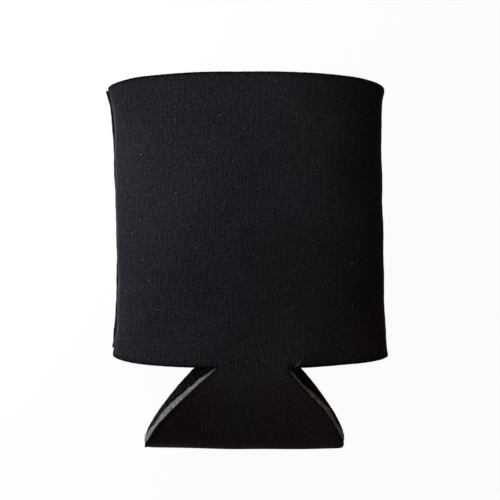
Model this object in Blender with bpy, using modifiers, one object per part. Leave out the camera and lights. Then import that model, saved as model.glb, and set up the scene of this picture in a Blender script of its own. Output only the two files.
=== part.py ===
# Can cooler sleeve: one die-cut blank of foam between two cloths, folded at its floor and sewn up both sides.
# It lies on its back panel, as it comes to rest by itself: mouth towards +Y, folded floor flap towards -Y.
# Lengths are in metres and angles in degrees.

import math

import bmesh
import bpy

# Sizes of the blank
PANEL_HEIGHT = 0.1028
NECK_HALF = 0.0126
FLAP_HALF = 0.0396
FOLD_HALF = 0.0368
FOLD_OFFSET = 0.0006
FRONT_EDGE_POWER = 1.28
BACK_EDGE_POWER = 1.45
CLOTH = 0.0004
FOAM = 0.0034
BOND = 0.00006

# Sizes of the sewn side edges
EDGE_RADIUS = 0.0040
ALLOWANCE = 0.0050
SEAM_GAP = 0.0004
EDGE_LOFT_RATIO = 0.75
SEWN_LOFT_RATIO = 0.50
SEAM_PULL = 0.0024

# How far the sleeve stands open as it lies
WAIST_HALF = 0.0489
MOUTH_FLARE = 0.0028
HEM_FLARE = 0.0019
FLARE_REACH = 0.0080
SEAM_HEIGHT = 0.0155
FRONT_RISE = 0.0180
BELLY = 0.0018
REST_HALF = 0.0150
EDGE_CROWN = 0.0018
BACK_PROUD = 0.0010
LEAN = 1.1

# The floor flap between the two panels
NECK_SLOPE = 6.0
FOLD_RADIUS = 0.0062
FOLD_SKEW = 0.0025

# The thread that binds the raw edges of each side seam
THREAD_RADIUS = 0.00030
THREAD_CLEARANCE = 0.0003
THREAD_REACH = 0.0036
THREAD_PITCH = 0.0080
THREAD_INSET = 0.0040

# Facets across half of the blank and along it
NECK_COLUMNS = 3
ARC_COLUMNS = 6
TURN_COLUMNS = 4
SEWN_COLUMNS = 2
PANEL_ROWS = 9
SLOPE_ROWS = 7
CREASE_ROWS = 4

THICKNESS = 2 * CLOTH + FOAM + 2 * BOND
HALF_COLUMNS = NECK_COLUMNS + ARC_COLUMNS + TURN_COLUMNS + SEWN_COLUMNS
FLAP_ROWS = 2 * (SLOPE_ROWS + CREASE_ROWS)
EDGE_CENTRE = EDGE_RADIUS + SEAM_GAP / 2
DEPTH = SEAM_HEIGHT + FRONT_RISE
HEM = 0.0
MOUTH = HEM + PANEL_HEIGHT


def half_width(y):
    """Half the sleeve's width at y: a waist that flares where the stitching ends."""
    flare = MOUTH_FLARE * math.exp((y - MOUTH) / FLARE_REACH)
    return WAIST_HALF + flare + HEM_FLARE * math.exp((HEM - y) / FLARE_REACH)


def front_rise(y):
    """Height of the front panel's middle above the seams, most at mid height."""
    along = (2 * y - MOUTH - HEM) / PANEL_HEIGHT
    return FRONT_RISE + BELLY * (1 - along * along)


def bow(x, half, rise, flat):
    """Height of a bowed panel above the seam plane: flat in the middle, then an elliptic curve to its edge."""
    reach = min(1.0, max(0.0, x - flat) / (half - flat))
    return EDGE_CENTRE + (rise - EDGE_CENTRE) * math.sqrt(1 - reach * reach)


def across(column, half, rise, flat, raw_edge):
    """(x, height above the seam plane, share of the foam's loft, share of the seam's pull) at one column."""
    if column <= NECK_COLUMNS:
        x = NECK_HALF * column / NECK_COLUMNS
        return x, bow(x, half, rise, flat), 1.0, 0.0
    column -= NECK_COLUMNS
    if column <= ARC_COLUMNS:
        share = math.sin(math.pi / 2 * column / ARC_COLUMNS)
        x = NECK_HALF + (half - NECK_HALF) * share
        loft = 1 - (1 - EDGE_LOFT_RATIO) * max(0.0, 2 * column / ARC_COLUMNS - 1)
        return x, bow(x, half, rise, flat), loft, 0.0
    column -= ARC_COLUMNS
    if column <= TURN_COLUMNS:
        share = column / TURN_COLUMNS
        angle = math.pi / 2 * share
        x = half - EDGE_RADIUS + EDGE_RADIUS * math.cos(angle)
        height = EDGE_CENTRE - EDGE_RADIUS * math.sin(angle)
        return x, height, EDGE_LOFT_RATIO + (SEWN_LOFT_RATIO - EDGE_LOFT_RATIO) * share, share
    share = (column - TURN_COLUMNS) / SEWN_COLUMNS
    x = half - EDGE_RADIUS + (raw_edge - half + EDGE_RADIUS) * share
    return x, SEAM_GAP / 2, SEWN_LOFT_RATIO, 1.0


def lean(y):
    """How far the sleeve's middle line has moved across at y, as its mouth leans over to -X."""
    return -math.tan(math.radians(LEAN)) * (y - HEM)


def raw_edge(y):
    """Where the sewn raw edges end, inside the sleeve."""
    return half_width(y) - EDGE_RADIUS - ALLOWANCE


def panel_shift(side):
    """How far the back panel lies up from the front one, as the flap's back half is the longer one."""
    rows = SLOPE_ROWS + CREASE_ROWS
    return 0.0 if side > 0 else flap_profile(-1, rows)[1] - flap_profile(1, rows)[1]


def panel_point(side, row, column):
    """(point, loft) of the front panel (side 1) or the back panel (side -1), rows from mouth to hem."""
    down = (1 - math.cos(math.pi * row / PANEL_ROWS)) / 2
    y = MOUTH + (HEM - MOUTH) * down
    half = half_width(y)
    further = panel_shift(side)
    if side < 0 and column < 0:
        half += BACK_PROUD * (1 + math.exp((y - MOUTH) / FLARE_REACH))
    rise = front_rise(y) if side > 0 else SEAM_HEIGHT
    flat = 0.0 if side > 0 else REST_HALF
    x, height, loft, pull = across(abs(column), half, rise, flat, raw_edge(y))
    drawn_in = EDGE_CROWN * (x / half) ** 8 + SEAM_PULL * pull
    y += drawn_in * (2 * down - 1)
    return (math.copysign(x, column) + lean(y), y + further, SEAM_HEIGHT + side * height), loft


def flap_length(side):
    """Length of the front (side 1) or back (side -1) half of the flap, as the crease lies off its middle."""
    return FLAP_HALF - side * FOLD_OFFSET


def flap_straight(side, slope):
    """Length of one half of the flap between neck and crease."""
    return flap_length(side) - FOLD_RADIUS * (math.pi / 2 - slope)


def slope_run(end_slope, length, distance):
    """(run, drop) after a distance along a sheet whose slope grows evenly from the neck's to end_slope."""
    start = math.radians(NECK_SLOPE)
    slope = start + (end_slope - start) * distance / length
    turn = (end_slope - start) / length
    return (math.sin(slope) - math.sin(start)) / turn, (math.cos(start) - math.cos(slope)) / turn


def crease_slope(side):
    """Slope at which each half of the flap meets its crease, so that both halves end at the same height."""
    low, high = math.radians(NECK_SLOPE), math.pi / 2
    for _ in range(30):
        slope = (low + high) / 2
        length = flap_straight(side, slope)
        drop = slope_run(slope, length, length)[1] + FOLD_RADIUS * math.cos(slope)
        low, high = (slope, high) if drop < DEPTH / 2 else (low, slope)
    return slope


def flap_profile(side, row):
    """(distance from the neck, run, drop) at a row of one half of the flap, 0 at the neck."""
    slope = crease_slope(side)
    length = flap_straight(side, slope)
    if row <= SLOPE_ROWS:
        distance = length * row / SLOPE_ROWS
        return distance, *slope_run(slope, length, distance)
    run, drop = slope_run(slope, length, length)
    angle = slope + (math.pi / 2 - slope) * (row - SLOPE_ROWS) / CREASE_ROWS
    run += FOLD_RADIUS * (math.sin(angle) - math.sin(slope))
    drop += FOLD_RADIUS * (math.cos(slope) - math.cos(angle))
    return length + FOLD_RADIUS * (angle - slope), run, drop


def flap_point(side, row, column):
    """(point, loft) of the floor flap, row 0 at the neck and the last row on the fold."""
    distance, run, drop = flap_profile(side, row)
    down = distance / flap_length(side)
    power = FRONT_EDGE_POWER if side > 0 else BACK_EDGE_POWER
    spread = min(1.0, distance / flap_straight(side, crease_slope(side)))
    width = NECK_HALF + (FOLD_HALF - NECK_HALF) * (1 - (1 - spread) ** power)
    share = column / NECK_COLUMNS
    neck, _ = panel_point(side, PANEL_ROWS, column)
    middle, _ = panel_point(side, PANEL_ROWS, 0)
    crown = (neck[2] - middle[2]) * (1 - down)
    back = (neck[1] - middle[1]) * (1 - down)
    x = share * width - FOLD_SKEW * down
    return (x, middle[1] + back - run, middle[2] - side * drop + crown), 1.0


def blank_point(row, column):
    """(point, loft) of the outer face, rows from the back panel's mouth round the fold to the front's."""
    last = 2 * PANEL_ROWS + FLAP_ROWS
    side, row = (-1, row) if row <= last / 2 else (1, last - row)
    if row <= PANEL_ROWS:
        return panel_point(side, row, column)
    return flap_point(side, row - PANEL_ROWS, column)


def outer_face():
    """The blank's outer face: a flat grid, cut to the blank's shape at the flap, then folded and bowed."""
    rows, columns = 2 * PANEL_ROWS + FLAP_ROWS, 2 * HALF_COLUMNS
    mesh = bpy.data.meshes.new("blank_face")
    sheet = bmesh.new()
    loft_layer = sheet.verts.layers.deform.verify()
    bmesh.ops.create_grid(sheet, x_segments=columns, y_segments=rows, size=1.0)
    place = {v: (round((v.co.y + 1) / 2 * rows), round(v.co.x * HALF_COLUMNS)) for v in sheet.verts}
    flap_rows = range(PANEL_ROWS, PANEL_ROWS + FLAP_ROWS)
    waste = [
        face
        for face in sheet.faces
        if min(place[v][0] for v in face.verts) in flap_rows
        and max(abs(place[v][1]) for v in face.verts) > NECK_COLUMNS
    ]
    bmesh.ops.delete(sheet, geom=waste, context="FACES")
    for v in sheet.verts:
        v.co, v[loft_layer][0] = blank_point(*place[v])
    sheet.to_mesh(mesh)
    sheet.free()
    return mesh


def material(name, colour, roughness):
    made = bpy.data.materials.new(name)
    made.use_nodes = True
    surface = made.node_tree.nodes["Principled BSDF"]
    surface.inputs["Base Color"].default_value = (*colour, 1.0)
    surface.inputs["Roughness"].default_value = roughness
    surface.inputs["Metallic"].default_value = 0.0
    made.diffuse_color = (*colour, 1.0)
    return made


def add_layer(parts, face, name, depth, thickness, finish):
    """One layer of the laminate, its outer side at a depth below the blank's outer face."""
    mesh = face.copy()
    mesh.name = name
    mesh.shade_smooth()
    mesh.materials.append(finish)
    layer = bpy.data.objects.new(name, mesh)
    parts.objects.link(layer)
    layer.vertex_groups.new(name="loft")
    solidify = layer.modifiers.new("thickness", "SOLIDIFY")
    solidify.thickness = thickness
    solidify.offset = -1 - 2 * depth / thickness
    solidify.use_even_offset = True
    solidify.use_quality_normals = True
    solidify.vertex_group = "loft"
    return layer


def stitch_route(side):
    """Points of a thread that zigzags over both raw edges of one side seam, from near the mouth to near the hem."""
    rest = SEAM_GAP / 2 + THICKNESS * SEWN_LOFT_RATIO + THREAD_CLEARANCE + THREAD_RADIUS
    over = THREAD_CLEARANCE + THREAD_RADIUS
    start, end = MOUTH - SEAM_PULL - THREAD_INSET, HEM + SEAM_PULL + THREAD_INSET
    wraps = max(1, round((start - end) / THREAD_PITCH))
    pitch = (start - end) / wraps
    route = []
    for half_turn in range(2 * wraps + 1):
        face = 1 if half_turn % 2 == 0 else -1
        y = start - pitch * half_turn / 2
        route.append((raw_edge(y) + THREAD_REACH, y, face * rest))
        if half_turn == 2 * wraps:
            break
        y -= pitch / 4
        edge = raw_edge(y)
        route.append((edge, y, face * rest))
        route.append((edge - over, y, face * (rest - over)))
        route.append((edge - over, y, -face * (rest - over)))
        route.append((edge, y, -face * rest))
    return [(side * x + lean(y), y, SEAM_HEIGHT + z) for x, y, z in route]


def add_seam_thread(parts, name, side, finish):
    curve = bpy.data.curves.new(name, "CURVE")
    curve.dimensions = "3D"
    curve.bevel_depth = THREAD_RADIUS
    curve.bevel_resolution = 1
    curve.use_fill_caps = True
    route = stitch_route(side)
    spline = curve.splines.new("POLY")
    spline.points.add(len(route) - 1)
    for point, place in zip(spline.points, route):
        point.co = (*place, 1.0)
    curve.materials.append(finish)
    thread = bpy.data.objects.new(name, curve)
    parts.objects.link(thread)
    return thread


def centre_on_origin(parts, face):
    """Moves every piece so that the origin lies on the table, under the middle of the sleeve."""
    xs = [v.co.x for v in face.vertices]
    ys = [v.co.y for v in face.vertices]
    for piece in parts.objects:
        piece.location = (-(min(xs) + max(xs)) / 2, -(min(ys) + max(ys)) / 2, 0.0)


def main():
    for old in list(bpy.data.objects):
        bpy.data.objects.remove(old)
    parts = bpy.data.collections.new("can_cooler_sleeve")
    bpy.context.scene.collection.children.link(parts)
    black_knit = material("black_knit", (0.018, 0.018, 0.020), 0.85)
    grey_foam = material("grey_foam", (0.23, 0.24, 0.23), 0.95)
    black_lining = material("black_lining", (0.014, 0.015, 0.018), 0.92)
    black_thread = material("black_thread", (0.020, 0.020, 0.022), 0.60)
    face = outer_face()
    add_layer(parts, face, "outer_cloth", 0.0, CLOTH, black_knit)
    add_layer(parts, face, "foam_core", CLOTH + BOND, FOAM, grey_foam)
    add_layer(parts, face, "lining_cloth", CLOTH + FOAM + 2 * BOND, CLOTH, black_lining)
    add_seam_thread(parts, "left_seam_thread", -1, black_thread)
    add_seam_thread(parts, "right_seam_thread", 1, black_thread)
    centre_on_origin(parts, face)
    bpy.data.meshes.remove(face)


main()
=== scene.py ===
import math

import bpy
import numpy as np
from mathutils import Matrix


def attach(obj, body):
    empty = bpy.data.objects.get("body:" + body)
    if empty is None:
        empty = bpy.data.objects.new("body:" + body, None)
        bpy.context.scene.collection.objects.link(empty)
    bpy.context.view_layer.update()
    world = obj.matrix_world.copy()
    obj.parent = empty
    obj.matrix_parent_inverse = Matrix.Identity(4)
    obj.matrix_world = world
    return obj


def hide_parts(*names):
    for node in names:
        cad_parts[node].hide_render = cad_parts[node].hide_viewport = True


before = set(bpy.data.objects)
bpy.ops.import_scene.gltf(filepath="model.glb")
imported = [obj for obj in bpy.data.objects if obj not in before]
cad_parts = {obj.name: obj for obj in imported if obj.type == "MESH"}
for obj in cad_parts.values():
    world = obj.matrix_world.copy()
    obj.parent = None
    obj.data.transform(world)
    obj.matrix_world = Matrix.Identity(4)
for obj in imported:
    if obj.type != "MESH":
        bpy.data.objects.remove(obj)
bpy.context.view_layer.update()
print("frame loaded:", ", ".join(sorted(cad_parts)))

# the sleeve as it lies: the same lengths as its solids, in metres, angles in degrees
sleeve = {
    "panelHeight": 0.1028, "waistHalf": 0.0489, "mouthFlare": 0.0028, "hemFlare": 0.0019,
    "flareReach": 0.0080, "seamHeight": 0.0155, "frontRise": 0.0180, "belly": 0.0018, "restHalf": 0.0150,
    "edgeRadius": 0.0040, "allowance": 0.0050, "seamGap": 0.0004, "seamPull": 0.0024, "lean": 1.1,
    "neckHalf": 0.0126, "neckSlope": 6.0, "flapHalf": 0.0396, "foldHalf": 0.0368, "foldOffset": 0.0006,
    "foldRadius": 0.0062, "foldSkew": 0.0025, "frontEdgePower": 1.28, "backEdgePower": 1.45,
    "thickness": 0.00432, "cloth": 0.0004, "edgeLoft": 0.75, "sewnLoft": 0.50,
    "edgeCrown": 0.0018, "leftCrown": 0.00065, "rightCrown": 0.0012, "mouthRise": 0.00035,
    "hemLift": 0.00015, "rightHemRise": 0.00045, "cornerRadius": 0.0016, "rightCornerRadius": 0.0020,
    "foldTuck": 0.0006, "foldTuckReach": 0.0070, "foldTuckPower": 1.3, "backCornerDown": 0.0018,
    "backProud": 0.0010, "backFlare": 0.6, "frontLeftFlare": (0.0005, 0.0045),
    "leftFrontIn": (0.0009, 0.0006), "leftBackOut": (-0.0001, 0.0007),  # at the mouth and at the hem
    "backLeftBump": (0.0935, 0.0090, 0.00045), "foldWave": (0.00044, -0.0104, 0.0795),
    "mouthDips": [(-0.0345, 0.0120, 0.00035), (0.0365, 0.0080, 0.00028)],
}
# soft bumps of the side edges: (place along the edge, reach, how far it stands out)
sideBumps = {
    "left": [(0.0424, 0.010, 0.00018), (0.0060, 0.0018, 0.00030)],
    "right": [(0.1028, 0.009, -0.0009), (0.0726, 0.013, 0.0006), (0, 0.009, -0.0005), (0.045, 0.050, 0.0001)],
}
# how far each half of the flap stands to the left of its even curve, from the neck (0) to the fold (1)
flapShares = [0.0, 0.04, 0.09, 0.14, 0.20, 0.28, 0.38, 0.48, 0.56, 0.64, 0.73, 0.82, 0.92, 1.0]
flapShifts = {  # mm
    "nearLeft": [0, 0.25, 0.55, 0.85, 0.9, 1.0, 1.25, 1.25, 1.2, 0.85, 0.1, -0.1, 0, 0],
    "nearRight": [0, 1.5, 1.4, 1.55, 1.4, 0.9, 0.4, 0.1, 0.5, 0.8, 1.0, 1.1, 0.9, 0.6],
    "farLeft": [0, 0.05, 0.1, 0.1, 0.1, 0.05, -0.05, -0.25, -0.32, -0.34, -0.34, -0.1, 0, 0],
    "farRight": [0, 0.1, 0.15, 0.15, 0.15, 0.15, 0.22, 0.33, 0.36, 0.28, 0.26, 0.1, 0, 0],
}
middleOf = (-0.002437, 0.035473)  # the middle of the solids' outline in the blank's own frame
# how finely the blank is divided: columns over half its width, rows along it
divisions = {"neck": 22, "arc": 42, "turn": 14, "sewn": 5, "evenRows": 87, "flapRows": 70}
closeRows = np.array([0.0, 0.0011, 0.0024, 0.0042, 0.0066])  # closer rows by a cut end, in panel heights
evenFrom = 0.0095  # where the even rows start after them
closeColumns = [0.955, 0.972, 0.987, 1.0]  # closer columns by the neck's corner, in half neck widths
# soft unevenness of the foam: long waves (share, length across, length along, phase), puckers by each side
# seam, whose drift is (share, length, phase), and where the back panel lies flat (half width, then its fade)
softness = {
    "wave": 0.00026, "waves": [(1, 0.061, 0.083, 0.4), (0.7, 0.037, -0.052, 2.2), (0.35, 0.023, 0.019, 1.1)],
    "pucker": 0.00012, "puckerPitch": 0.0053, "puckerReach": 0.0050, "puckerPhase": 0.8,
    "drift": [(1.4, 0.031, 0), (0.9, 0.0173, 1.0)], "flat": (0.020, 0.014), "flapShare": 0.35, "flapFade": 12,
}


def ease(x, start, length):
    # from 0 at the start evenly to 1, a length past it
    return np.clip((x - start) / length, 0, 1)


def bump(x, place, reach):
    # a soft bump of height 1 about a place
    return np.exp(-(((x - place) / reach) ** 2))


def byPlace(x, stops):
    # a value given at some places, and even between them
    return np.interp(x, *zip(*stops))


def bow(x, half, rise, flat):
    # height of a bowed panel over the seam plane: flat out to flat, then a quarter of an ellipse to its edge
    edge = sleeve["edgeRadius"] + sleeve["seamGap"] / 2
    return edge + (rise - edge) * np.sqrt(1 - ease(x, flat, half - flat) ** 2)


def halfWidth(y, hand):
    # waist, soft bumps, and a flare at each end that falls off exponentially with the distance from that end
    reach = sleeve["flareReach"]
    flare = sleeve["mouthFlare"] * np.exp((y - sleeve["panelHeight"]) / reach)
    flare = flare + sleeve["hemFlare"] * np.exp(-y / reach)
    left, right = (sum(out * bump(y, at, near) for at, near, out in edge) for edge in sideBumps.values())
    return sleeve["waistHalf"] + flare + np.where(hand > 0, right, left)


def leaning(y):
    return -math.tan(math.radians(sleeve["lean"])) * y


def columnPlan():
    # for each column: its stretch of the section (neck, arc, turn or sewn) and its share of that stretch
    parts = [divisions[name] for name in ("neck", "arc", "turn", "sewn")]
    stretch = np.concatenate([[0]] + [np.full(count, i) for i, count in enumerate(parts)])
    evenly = [np.arange(1, count + 1) / count for count in parts]
    even = parts[0] - len(closeColumns) + 1
    evenly[0] = np.concatenate([np.arange(1, even) / even * closeColumns[0], closeColumns])
    share = np.concatenate([[0.0]] + evenly)
    side = np.concatenate([-np.ones(sum(parts)), np.ones(sum(parts) + 1)])
    return np.concatenate([stretch[:0:-1], stretch]), np.concatenate([share[:0:-1], share]), side


def sectionAt(stretch, share, half, rise, flat):
    # (x, height over the seam plane, loft, seam pull) along a bowed panel, its turned edge and an allowance
    radius, gap, neck = sleeve["edgeRadius"], sleeve["seamGap"], sleeve["neckHalf"]
    edgeLoft, sewnLoft = sleeve["edgeLoft"], sleeve["sewnLoft"]
    onPanel, onTurn = stretch < 2, stretch == 2
    angle = np.pi / 2 * share
    bowX = np.where(stretch == 0, neck * share, neck + (half - neck) * np.sin(angle))
    x = np.select(
        [onPanel, onTurn], [bowX, half - radius + radius * np.cos(angle)],
        half - radius - sleeve["allowance"] * share,
    )
    turned = radius + gap / 2 - radius * np.sin(angle)
    height = np.select([onPanel, onTurn], [bow(bowX, half, rise, flat), turned], gap / 2 + 0 * share)
    arcLoft = 1 - (1 - edgeLoft) * np.clip(2 * share - 1, 0, 1)
    turnLoft = edgeLoft + (sewnLoft - edgeLoft) * share
    loft = np.select([stretch == 0, stretch == 1, onTurn], [1.0 + 0 * share, arcLoft, turnLoft], sewnLoft)
    pull = np.select([onPanel, onTurn], [0 * share, share], 1.0)
    return x, height, loft + 0 * x, pull + 0 * x


def slopeRun(start, end, length, distance):
    # run and drop along a sheet whose slope grows evenly from start to end
    turn = (end - start) / length
    slope = start + turn * distance
    return (np.sin(slope) - math.sin(start)) / turn, (math.cos(start) - np.cos(slope)) / turn


def flapLength(side):
    return sleeve["flapHalf"] - side * sleeve["foldOffset"]


def creaseSlope(side):
    # the slope at the crease that brings this half of the flap to the height half way between the panels
    start, radius = math.radians(sleeve["neckSlope"]), sleeve["foldRadius"]
    low, high = start, math.pi / 2
    for _ in range(30):
        slope = (low + high) / 2
        length = flapLength(side) - radius * (math.pi / 2 - slope)
        drop = slopeRun(start, slope, length, length)[1] + radius * math.cos(slope)
        low, high = (slope, high) if drop < (sleeve["seamHeight"] + sleeve["frontRise"]) / 2 else (low, slope)
    return slope


def flapProfile(side, distance):
    # run and drop of one half of the flap at a distance from the neck: an even curl, then a round fold
    slope, radius = creaseSlope(side), sleeve["foldRadius"]
    length = flapLength(side) - radius * (math.pi / 2 - slope)
    start = math.radians(sleeve["neckSlope"])
    run, drop = slopeRun(start, slope, length, np.minimum(distance, length))
    angle = slope + np.clip(distance - length, 0, None) / radius
    run = run + radius * (np.sin(angle) - math.sin(slope))
    drop = drop + radius * (math.cos(slope) - np.cos(angle))
    return run, drop, np.clip(distance / length, 0, 1)


def byEnds(ends, down):
    # a size given at the mouth and at the hem, falling evenly to nothing half way between them
    return ends[0] * np.clip(1 - 2 * down, 0, 1) + ends[1] * np.clip(2 * down - 1, 0, 1)


def panelSurface(side, down, stretch, share, hand):
    # outer face of a panel: the section at each height, leaning, with its ends drawn in by the seams
    height, flare = sleeve["panelHeight"], sleeve["flareReach"]
    down, stretch, share, hand = np.broadcast_arrays(down[:, None], stretch[None], share[None], hand[None])
    y = height * (1 - down)
    half = halfWidth(y, hand)
    if side < 0:
        place, reach, out = sleeve["backLeftBump"]
        proud = sleeve["backProud"] * (1 + sleeve["backFlare"] * np.exp((y - height) / flare))
        half = half + np.where(hand < 0, proud, 0)
        half = half + (byEnds(sleeve["leftBackOut"], down) + out * bump(y, place, reach)) * (hand < 0)
        rise, flat, shift = sleeve["seamHeight"] + 0 * y, sleeve["restHalf"], backShift
    else:
        flared, reach = sleeve["frontLeftFlare"]
        half = half + (flared * np.exp(-y / reach) - byEnds(sleeve["leftFrontIn"], down)) * (hand < 0)
        rise, flat, shift = sleeve["frontRise"] + sleeve["belly"] * (1 - (2 * y / height - 1) ** 2), 0.0, 0.0
    x, over, loft, pull = sectionAt(stretch, share, half, rise, flat)
    aside = x / half  # 0 in the middle, 1 at the side edge
    drawn = sleeve["edgeCrown"] * aside**8 + sleeve["seamPull"] * pull
    crown = np.where(hand < 0, sleeve["leftCrown"], sleeve["rightCrown"]) * aside**4
    if side > 0:
        # the corners at the mouth are rounded off: x drawn in by a circle's sagitta near the mouth
        radius = np.where(hand < 0, sleeve["cornerRadius"], sleeve["rightCornerRadius"])
        into = np.clip(1 - (height - y) / radius, 0, 1)
        x = x - radius * (1 - np.sqrt(1 - into**2)) * aside**10
    else:
        drawn = drawn + sleeve["backCornerDown"] * np.clip(1 - 2 * down, 0, 1) ** 2 * aside**8
    y = y + drawn * (2 * down - 1) + (sleeve["mouthRise"] - crown) * (1 - down) ** 3
    if side > 0:
        rightRise = 4 * sleeve["rightHemRise"] * aside**2 * (1 - aside**2) * (hand > 0)
        y = y + (sleeve["hemLift"] * aside**2 + rightRise) * down**6
    x = hand * x + leaning(y)
    for place, reach, deep in sleeve["mouthDips"] if side > 0 else []:
        y = y - deep * bump(x - middleOf[0], place, reach) * (1 - down) ** 3
    return np.stack([x, y + shift, sleeve["seamHeight"] + side * over], axis=-1), loft


def flapSurface(side, share, across, neckRow, middle):
    # outer face of half the flap: the neck's own row, carried along the profile while it spreads and skews
    distance = flapLength(side) * share[:, None]
    run, drop, spread = flapProfile(side, distance)
    power = sleeve["frontEdgePower"] if side > 0 else sleeve["backEdgePower"]
    width = sleeve["neckHalf"] + (sleeve["foldHalf"] - sleeve["neckHalf"]) * (1 - (1 - spread) ** power)
    fade = 1 - share[:, None]
    # the right corner of the fold is rounded: its edge draws in close to the fold
    near = np.clip(1 - fade * flapLength(side) / sleeve["foldTuckReach"], 0, 1)
    width = width - sleeve["foldTuck"] * near ** sleeve["foldTuckPower"] * (across[None] > 0)
    x = across[None] * width - sleeve["foldSkew"] * share[:, None]
    half = "near" if side > 0 else "far"
    left, right = (
        np.interp(share, flapShares, flapShifts[half + hand])[:, None] * 0.001 for hand in ("Left", "Right")
    )
    x = x - np.abs(across[None]) ** 3 * np.where(across[None] < 0, left, right)
    y = middle[1] + (neckRow[None, :, 1] - middle[1]) * fade - run
    deep, place, length = sleeve["foldWave"]  # the fold is a slow sine, not straight
    y = y - deep * np.sin(2 * np.pi * (x - middleOf[0] - place) / length) * share[:, None] ** 3
    z = middle[2] - side * drop + (neckRow[None, :, 2] - middle[2]) * fade
    return np.stack([x, y, z + 0 * x], axis=-1)


def unit(vectors):
    return vectors / np.maximum(np.linalg.norm(vectors, axis=-1, keepdims=True), 1e-12)


def gridNormals(points):
    return unit(np.cross(np.gradient(points, axis=1), np.gradient(points, axis=0)))


def arcLengths(points, axis):
    # distance along one axis of a grid of points, from its first row or column
    step = np.linalg.norm(np.diff(points, axis=axis), axis=-1)
    first = np.zeros_like(np.take(step, [0], axis=axis))
    return np.concatenate([first, np.cumsum(step, axis=axis)], axis=axis)


foldRow = divisions["flapRows"]
backShift = float(
    flapProfile(-1, np.array([flapLength(-1)]))[0][0] - flapProfile(1, np.array([flapLength(1)]))[0][0]
)


def wholeBlank():
    # the outer face as one grid: back panel from its mouth, round the fold, to the front panel's mouth
    stretch, share, hand = columnPlan()
    middle = len(stretch) // 2
    neck = slice(middle - divisions["neck"], middle + divisions["neck"] + 1)
    evenRows = np.linspace(evenFrom, 1 - evenFrom, divisions["evenRows"])
    down = np.unique(np.concatenate([closeRows, evenRows, 1 - closeRows]))
    along = np.linspace(0, 1, foldRow + 1)
    back, loft = panelSurface(-1, down, stretch, share, hand)
    front, _ = panelSurface(1, down, stretch, share, hand)
    across = (hand * share)[neck]
    halves = [flapSurface(s, along, across, p[-1, neck], p[-1, middle]) for s, p in ((-1, back), (1, front))]
    flap = np.concatenate([halves[0], halves[1][-2::-1]])
    rows = 2 * len(down) + len(flap) - 2
    points = np.full((rows, len(stretch), 3), np.nan)
    normals = np.full_like(points, np.nan)
    lofts = np.ones(points.shape[:2])
    hemBack, hemFront = len(down) - 1, rows - len(down)
    points[: hemBack + 1], points[hemFront:] = back, front[::-1]
    normals[: hemBack + 1], normals[hemFront:] = gridNormals(back), gridNormals(front[::-1])
    lofts[: hemBack + 1] = lofts[hemFront:] = loft[0]
    flapNormals = gridNormals(flap)
    points[hemBack : hemFront + 1, neck] = flap
    for row, end in ((hemBack, 0), (hemFront, -1)):
        flapNormals[end] = unit(flapNormals[end] + normals[row, neck])
    normals[hemBack : hemFront + 1, neck] = flapNormals
    flat = np.zeros(points.shape[:2] + (2,))
    flat[..., 0] = arcLengths(np.nan_to_num(points), 1)
    flat[..., 0] -= flat[:, middle : middle + 1, 0]
    inFlap = slice(hemBack + 1, hemFront)
    flat[inFlap, neck, 0] = points[inFlap, neck, 0] - points[inFlap, middle : middle + 1, 0]
    flat[..., 1] = arcLengths(points[:, middle : middle + 1], 0) - sleeve["panelHeight"]
    return points, normals, lofts, flat, (hemBack, hemFront, neck.start, neck.stop - 1)


def unevenness(points, flat, hemRows):
    # outward swell: long waves over the foam, and ripples by each side seam that die away from it
    u, v = flat[..., 0], flat[..., 1]
    wave = sum(
        share * np.sin(2 * np.pi * (u / across + v / along) + phase)
        for share, across, along, phase in softness["waves"]
    )
    ends = np.abs(u[:, -1:]) - sleeve["allowance"]
    nearSeam = np.exp(-np.abs(ends - np.abs(u)) / softness["puckerReach"])
    drift = sum(share * np.sin(2 * np.pi * v / length + phase) for share, length, phase in softness["drift"])
    turn = 2 * np.pi * v / softness["puckerPitch"] + drift + np.sign(u) * softness["puckerPhase"]
    ripple = np.cos(turn) * nearSeam
    rows = np.arange(len(points))[:, None]
    ripple[hemRows[0] + 1 : hemRows[1]] = 0
    swell = softness["wave"] * wave + softness["pucker"] * ripple
    lifted = ease(np.abs(points[..., 0]), *softness["flat"])
    inFlap = (rows > hemRows[0]) & (rows < hemRows[1])
    toHem = np.minimum(np.abs(rows - hemRows[0]), np.abs(rows - hemRows[1]))
    less = (1 - softness["flapShare"]) * ease(toHem, 0, softness["flapFade"])
    swell = swell * np.where(inFlap, 1 - less, 1.0)
    return swell * np.where(rows < hemRows[1] - foldRow, lifted, 1.0)


points, normals, lofts, flat, (hemBack, hemFront, neckLeft, neckRight) = wholeBlank()
shown = np.isfinite(points[..., 0])
points = points - np.array([middleOf[0], middleOf[1], 0])
points = points + normals * unevenness(points, flat, (hemBack, hemFront))[..., None]
lastRow, lastColumn = points.shape[0] - 1, points.shape[1] - 1
rowNumber, columnNumber = np.arange(lastRow + 1)[:, None], np.arange(lastColumn + 1)[None]
inPanel = (rowNumber <= hemBack) | (rowNumber >= hemFront)
# the die pressed the cut edge, so both faces come nearer to each other there; the flap's sides slant, so the
# distance to them is a share of that across
pinch = {"deep": 0.00022, "reach": 0.00045, "slant": 0.75}


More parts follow.
